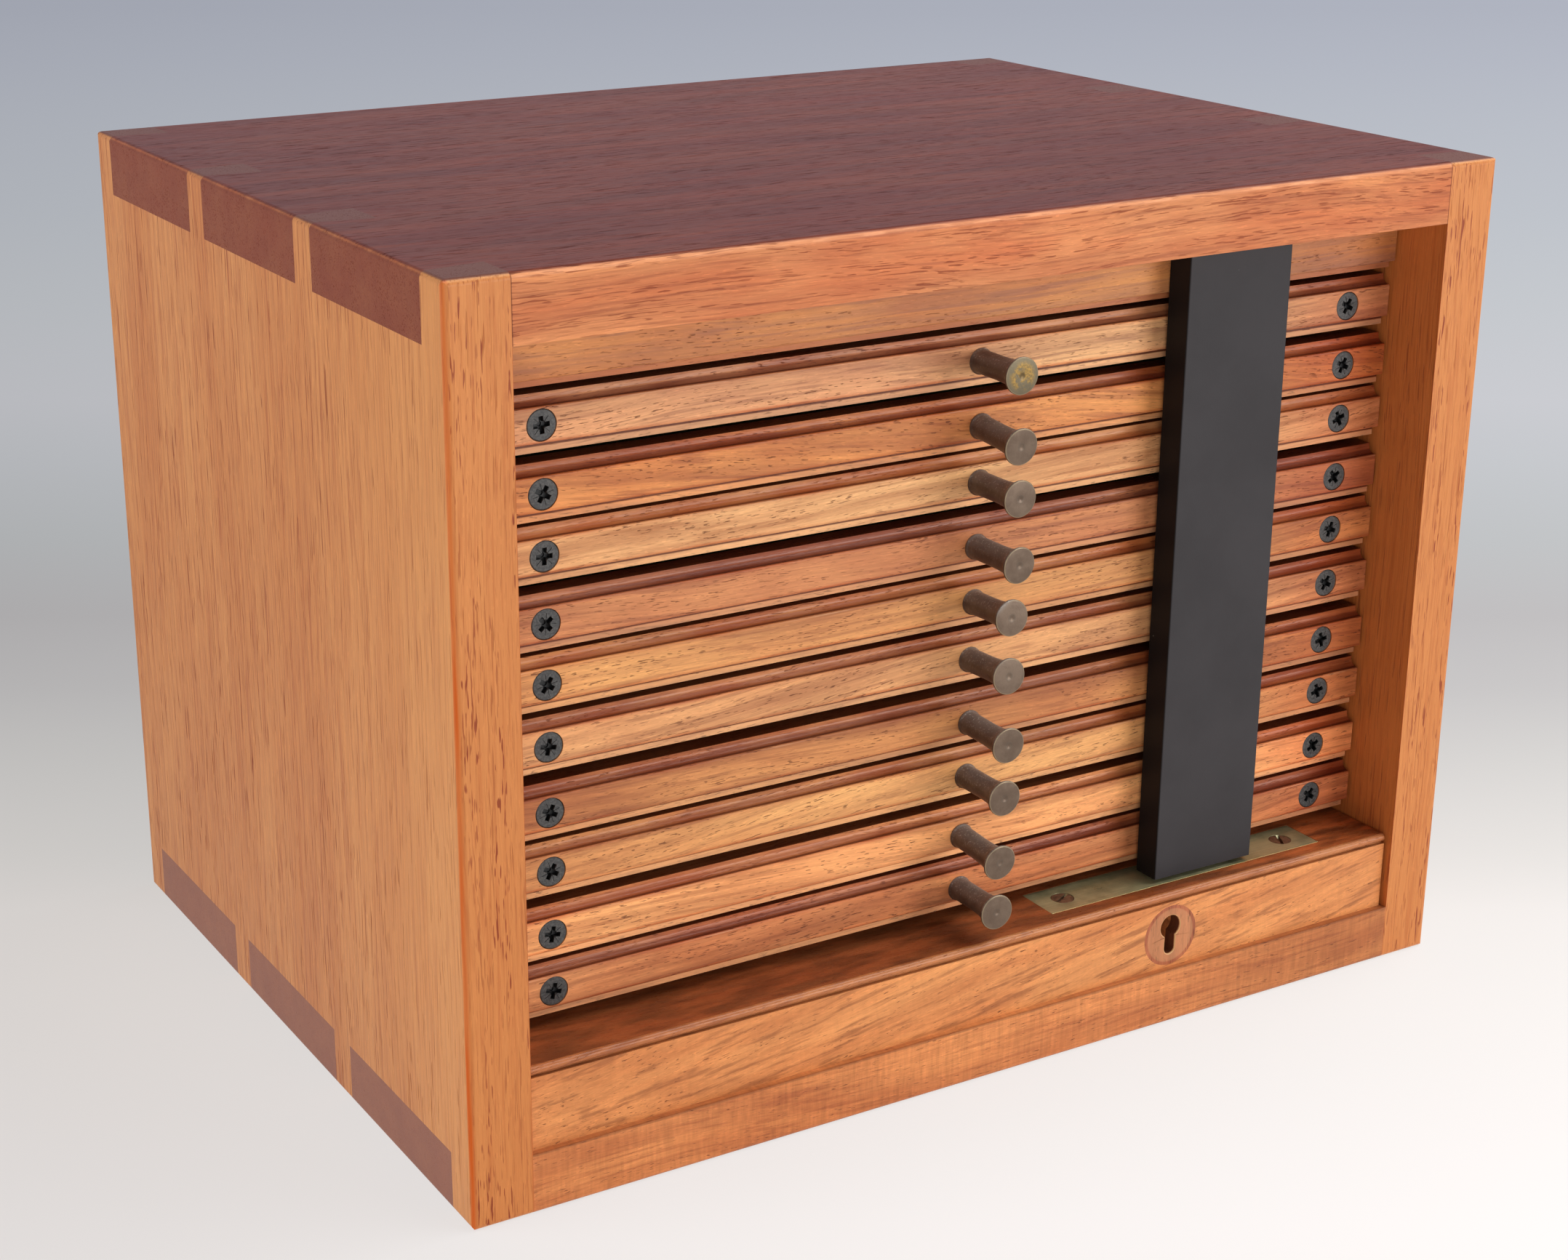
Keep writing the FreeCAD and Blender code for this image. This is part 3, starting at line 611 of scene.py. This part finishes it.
for index in range(trayCount):
    name = "tray_%02d" % (index + 1)
    low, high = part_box(name + "_knob")
    centre = (low.z + high.z) / 2
    bm = spun([(r, -d) for r, d in knob["rings"]], 72)
    across, rise, swing, droop = knobSets[index]
    for degrees, axis in ((swing, "Z"), (-droop, "X")):
        bmesh.ops.rotate(bm, verts=bm.verts, cent=(0, 0, 0), matrix=Matrix.Rotation(math.radians(degrees), 3, axis))
    root = (across, trayFront["flat"] + knob["sunk"], centre / mm + rise)
    scaled(bm, root)
    material = knobMetal("knobMetal%02d" % (index + 1), root, math.radians(swing), math.radians(droop), index == 0)
    piece = newPiece(name + "_turned_knob", bm, material, True)
    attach(piece, name)
    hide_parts(name + "_knob")
    "bright_brass" if index == 0 else "patinated_brass"
print("knobs turned")

# tray boards: plain wood with dark green felt in the troughs
trayBoard = {"wood": {"pale": (200, 142, 94), "warm": (172, 110, 68)}, "feltDark": (30, 62, 44),
             "feltLight": (58, 100, 70), "halfLength": 0.1262, "deep": 0.0055, "clear": 0.0003, "front": -0.0809}


def boardMaterial(index, top):
    kit = Kit("trayBoardWood%02d" % (index + 1))
    t = trayBoard
    colour, fibre, pore = woodPattern(kit, dict(plainWood, seed=50 + index, **t["wood"]))
    x, y, z = kit.axes()
    lined = (1 - abs(x).ease(t["halfLength"] - fineEdge, t["halfLength"])) * y.ease(
        t["front"] - fineEdge, t["front"]) * z.within(top - t["deep"] - fineEdge, top - t["clear"], fineEdge / 2)
    nap = kit.noise(kit.place, 1100, 4.0, 0.7)
    colour = kit.mix(lined, colour, kit.mix(nap.ease(0.3, 0.7), tint(*t["feltDark"]), tint(*t["feltLight"])))
    return kit.finish(colour, 0.45 + lined * 0.5, kit.bump(fibre * 0.4 - pore + nap * lined * 2, 0.00015))


for index in range(trayCount):
    name = "tray_%02d_board" % (index + 1)
    dress(name, boardMaterial(index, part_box(name)[1].z))
print("tray boards dressed")

# keyhole inlay: a disc of darker wood, its keyhole cut with a worn pale edge
inlay = {"x": 58.1, "z": 25.4, "radius": 8.75, "front": -111.0, "thick": 4.0, "round": 3.3, "roundZ": 27.9,
         "slot": 3.5, "slotFoot": 19.8, "chamfer": 0.3,
         "mouth": (0.0075, 0.008), "edgeDepth": (0.00002, 0.0004, 0.00006), "boreDepth": (0.0004, 0.0008),
         "wornEdge": (222, 176, 120), "bore": (70, 36, 20),
         "wood": {"along": "Z", "seed": 17.0, "pale": (178, 106, 70), "warm": (162, 90, 60), "deep": (122, 64, 44),
                  "band": (6, 420), "bandShare": 0.4, "streakShare": 0.4}}


def inlayPaint(kit, colour, rough):
    d = inlay
    x, y, z = kit.axes(kit.add("ShaderNodeMapping", {}, {
        "Vector": kit.place, "Location": (-d["x"] * mm, -d["front"] * mm, -d["z"] * mm)}))
    middle = 1 - kit.radius(x, z).ease(*d["mouth"])
    colour = kit.mix(y.within(*d["edgeDepth"]) * middle * 0.8, colour, tint(*d["wornEdge"]))
    # painted shade inside the keyhole's bore
    return kit.mix(y.ease(*d["boreDepth"]) * middle * 0.8, colour, tint(*d["bore"])), rough


def makeInlay():
    d = inlay
    material = wood("inlayWood", d["wood"], inlayPaint)
    disc = spun([(0, 0), (d["radius"], 0), (d["radius"], d["thick"]), (0, d["thick"])], 96,
                where=(d["x"], d["front"], d["z"]))
    piece = newPiece("keyhole_inlay_disc", disc, material)
    half, deep = d["slot"] / 2, d["thick"] + 1
    low = d["slotFoot"] + half
    rise = d["roundZ"] - low
    for radius, steps, height in ((d["round"], 48, d["roundZ"]), (half, 32, low)):
        bore = spun([(0, -1), (radius, -1), (radius, deep), (0, deep)], steps, where=(d["x"], d["front"], height))
        cutAway(piece, newPiece("cutter", bore, material))
    slot = block((d["slot"], 2 * deep, rise), (d["x"], d["front"], low + rise / 2))
    cutAway(piece, newPiece("cutter", slot, material))
    bm = bmesh.new()
    bm.from_mesh(piece.data)
    bmesh.ops.remove_doubles(bm, verts=bm.verts, dist=0.005)
    centre = Vector((d["x"], d["front"], d["z"]))
    mouth = [e for e in bm.edges if all(abs(v.co.y - d["front"]) < 0.01 and (v.co - centre).length < d["radius"] - 1
                                        for v in e.verts) and any(abs(f.normal.y) < 0.5 for f in e.link_faces)]
    bevelled(bm, mouth, d["chamfer"], 2)
    scaled(bm)
    bm.to_mesh(piece.data)
    bm.free()
    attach(piece, "carcass")
    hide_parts("keyhole_inlay")


makeInlay()
print("keyhole inlay made")

# brass selvedge in the lock rail's top, with the bolt's slot and two slotted screws
selvedge = {"x": (22.0, 115.0), "y": (-105.4, -92.0), "z": (36.0, 38.0), "round": 0.25,
            "slotX": 73.9, "slotY": -99.0, "slotSize": (12.6, 3.0), "screwX": (30.4, 106.6), "screwY": -98.7,
            "sink": [(0, -1.6), (1.5, -1.6), (3.22, -0.15), (3.22, 1), (0, 1)],
            "head": [(0, -1.5), (1.4, -1.5), (3.1, -0.2), (3.1, -0.12), (2.8, -0.02), (0, 0.02)],
            "headSlot": (6.82, 0.9, 1.5), "brush": (60, 2600, 600),
            "dark": (150, 146, 108), "light": (188, 182, 138), "edge": (216, 190, 110),
            "copper": (92, 68, 50), "copperLight": (132, 98, 72), "edgeY": (-0.10539, -0.1051),
            "edgeZ": (0.0375, 0.0377), "turns": (0.5, 1.1)}


def selvedgeBrass():
    kit = Kit("selvedgeBrass")
    s = selvedge
    y, z = kit.axes()[1:]
    cloud = kit.noise(kit.place, 90, 4.0, 0.65)
    brush = kit.noise(kit.place, s["brush"], 2.0)
    colour = kit.shade(kit.mix(cloud.ease(0.32, 0.68), tint(*s["dark"]), tint(*s["light"])), 1 + (brush - 0.5) * 0.5)
    # painted highlight along the plate's front top edge
    edge = (1 - y.ease(*s["edgeY"])) * z.ease(*s["edgeZ"])
    return kit.finish(kit.mix(edge * 0.8, colour, tint(*s["edge"])), 0.3 + (cloud - 0.5) * 0.2,
                      kit.bump(brush, 0.00002), Metallic=0.55)


def copperSteel():
    kit = Kit("selvedgeScrewMetal")
    cloud = kit.noise(kit.place, 700, 4.0, 0.6)
    colour = kit.mix(cloud.ease(0.35, 0.65), tint(*selvedge["copper"]), tint(*selvedge["copperLight"]))
    return kit.finish(colour, 0.42 + (cloud - 0.5) * 0.3, kit.bump(cloud, 0.00004), Metallic=0.5)


def makeSelvedge():
    s = selvedge
    metal, screwMetal, top = selvedgeBrass(), copperSteel(), s["z"][1]
    spans = (s["x"], s["y"], s["z"])
    bm = block([b - a for a, b in spans], [(a + b) / 2 for a, b in spans])
    bevelled(bm, [e for e in bm.edges if all(v.co.z > top - 0.01 for v in e.verts)], s["round"])
    plate = newPiece("brass_selvedge", bm, metal)
    cutAway(plate, newPiece("cutter", block((*s["slotSize"], 10), (s["slotX"], s["slotY"], top)), metal))
    for x in s["screwX"]:
        cutAway(plate, newPiece("cutter", spun(s["sink"], 48, "Z", (x, s["screwY"], top)), metal))
    toMetres(plate)
    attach(plate, "carcass")
    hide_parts("lock_selvedge")
    head = newPiece("slottedHead", spun(s["head"], 48, "Z"), screwMetal)
    cutAway(head, newPiece("cutter", block(s["headSlot"], (0, 0, 0)), screwMetal))
    for x, turn, side in zip(s["screwX"], s["turns"], ("left", "right")):
        piece = copied(head, "selvedge_screw_" + side, turn, (x, s["screwY"], top), screwMetal, "Z")
        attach(piece, "carcass")
    bpy.data.objects.remove(head)


makeSelvedge()
print("selvedge made")

# locking bar and the lock's own metal
bar = {"dark": (49, 46, 47), "light": (55, 52, 53), "side": (24, 21, 20), "sideX": (0.0572, 0.0575),
       "speck": (150, 148, 140), "specks": 70.0, "speckSize": (0.008, 0.02), "rough": 0.5, "shine": 0.14}
lockMetal = {"steel": ((112, 112, 110), (150, 150, 146), 0.36, 400),  # dark, light, roughness and grain
             "brass": ((160, 130, 70), (196, 166, 96), 0.34, 300)}


def barBlack():
    kit = Kit("satinBlackBar")
    cloud = kit.noise(kit.place, 35, 4.0, 0.6)
    cells = kit.add("ShaderNodeTexVoronoi", {}, {"Vector": kit.place, "Scale": bar["specks"]})
    speck = 1 - cells.ease(*bar["speckSize"])
    colour = kit.mix(cloud.ease(0.3, 0.7), tint(*bar["dark"]), tint(*bar["light"]))
    # painted shade on the bar's left face
    colour = kit.mix(1 - kit.axes()[0].ease(*bar["sideX"]), colour, tint(*bar["side"]))
    return kit.finish(kit.mix(speck * 0.6, colour, tint(*bar["speck"])), bar["rough"] + (cloud - 0.5) * 0.16,
                      kit.bump(kit.noise(kit.place, 2600), 0.000015), **{"Specular IOR Level": bar["shine"]})


def plainMetal(name, dark, light, rough, grain):
    kit = Kit(name)
    cloud = kit.noise(kit.place, grain, 4.0, 0.6)
    colour = kit.mix(cloud.ease(0.3, 0.7), tint(*dark), tint(*light))
    return kit.finish(colour, rough + (cloud - 0.5) * 0.2, kit.bump(cloud, 0.00002), Metallic=1.0)


barMaterial = barBlack()
dress("locking_bar", barMaterial)
dress("bar_strike", barMaterial)
lockSteel = plainMetal("lockSteel", *lockMetal["steel"])
dress("bar_pins", lockSteel)
dress("lock_case", lockSteel)
dress("lock_bolt", plainMetal("boltBrass", *lockMetal["brass"]))
print("bar and lock dressed")

# floor: pale in front of the cabinet and greyer behind it, and lighter towards the right, which is painted light.
# Near the cabinet the lamps and its shadow show on it a little, and from there on it has its painted colour alone
ground = {"turn": 30.3, "start": -0.2, "length": 2.6, "half": 5.0, "below": 0.00005,
          "farFrom": 0.2, "farTo": 0.7, "frontFrom": -0.3, "frontTo": -0.55, "near": 0.82,
          "eye": 0.727, "eyeLeast": 0.5, "across": 0.36, "acrossMost": 0.4, "sky": (172, 178, 190), "skyLight": 0.34,
          "stops": [(-0.17, (244, 240, 238)), (-0.05, (238, 234, 231)), (0.0, (234, 230, 227)),
                    (0.04, (223, 220, 217)), (0.12, (207, 205, 203)), (0.19, (193, 191, 191)),
                    (0.27, (184, 182, 183)), (0.37, (185, 187, 189)), (0.49, (190, 192, 196)),
                    (0.6, (194, 195, 200)), (0.82, (189, 192, 197)), (1.1, (183, 187, 194)),
                    (1.5, (178, 182, 191)), (1.87, (173, 177, 188)), (2.31, (168, 172, 184))]}
softboxes = [("keySoftbox", (1.05, -1.8, 0.32), 1.0, 27.5), ("frontFill", (-0.95, -1.5, 0.28), 0.8, 7.5),
             ("leftSoftbox", (-1.6, 0.5, 0.5), 0.9, 16), ("overheadSoftbox", (0.8, -0.3, 1.45), 1.1, 22)]
softboxAim = (0, 0, 0.1)


def seenRays(kit):  # 1 where the eye, a mirror or glass looks, and 0 for the light that falls on things
    ray = kit.add("ShaderNodeLightPath")
    return ray.out("Is Camera Ray") + ray.out("Is Glossy Ray") + ray.out("Is Transmission Ray")


def makeFloor():
    g = ground
    bm = bmesh.new()
    bmesh.ops.create_grid(bm, x_segments=1, y_segments=1, size=g["half"])
    bmesh.ops.translate(bm, vec=(0, 0, -g["below"]), verts=bm.verts)
    kit = Kit("paleFloor")
    across, along = kit.axes(kit.add("ShaderNodeMapping", {}, {
        "Vector": kit.place, "Rotation": (0, 0, math.radians(g["turn"]))}))[:2]
    stops = [((at - g["start"]) / g["length"], tint(*c)) for at, c in g["stops"]]
    colour = kit.add("ShaderNodeValToRGB", {"stops": stops}, [(along - g["start"]) * (1 / g["length"])])
    away = kit.add("ShaderNodeMath", {"operation": "MAXIMUM"}, [along + g["eye"], g["eyeLeast"]])
    side = kit.add("ShaderNodeMath", {"operation": "DIVIDE"}, [across, away])
    side = kit.add("ShaderNodeClamp", {}, [side, -g["acrossMost"], g["acrossMost"]])
    # painted light: lighter towards the right, darker towards the left
    colour = kit.shade(colour, 1 + side * g["across"])
    lit = kit.add("ShaderNodeBsdfDiffuse", {}, {"Color": colour})
    plain = kit.add("ShaderNodeEmission", {}, {"Color": colour, "Strength": 1.0})
    outer = along.ease(g["farFrom"], g["farTo"]) + 1 - along.ease(g["frontTo"], g["frontFrom"])
    far = (outer * (1 - g["near"]) + g["near"]) * seenRays(kit)
    kit.add("ShaderNodeOutputMaterial", {}, {"Surface": kit.add("ShaderNodeMixShader", {}, [far, lit, plain])})
    newPiece("floor", bm, kit.material)


def softbox(name, place, size, power):
    data = bpy.data.lights.new(name, "AREA")
    data.shape, data.size, data.energy = "SQUARE", size, power
    obj = bpy.data.objects.new(name, data)
    bpy.context.scene.collection.objects.link(obj)
    obj.location = place
    obj.rotation_euler = (Vector(softboxAim) - Vector(place)).to_track_quat("-Z", "Y").to_euler()


makeFloor()
for settings in softboxes:
    softbox(*settings)
world = bpy.data.worlds.new("studio")
bpy.context.scene.world = world
kit = Kit("studio", world)  # dim for the light it gives, and pale where it is seen or mirrored
kit.add("ShaderNodeOutputWorld", {}, {"Surface": kit.add("ShaderNodeBackground", {}, {
    "Color": tint(*ground["sky"]), "Strength": seenRays(kit) * (1 - ground["skyLight"]) + ground["skyLight"]})})
print("floor and lights set")
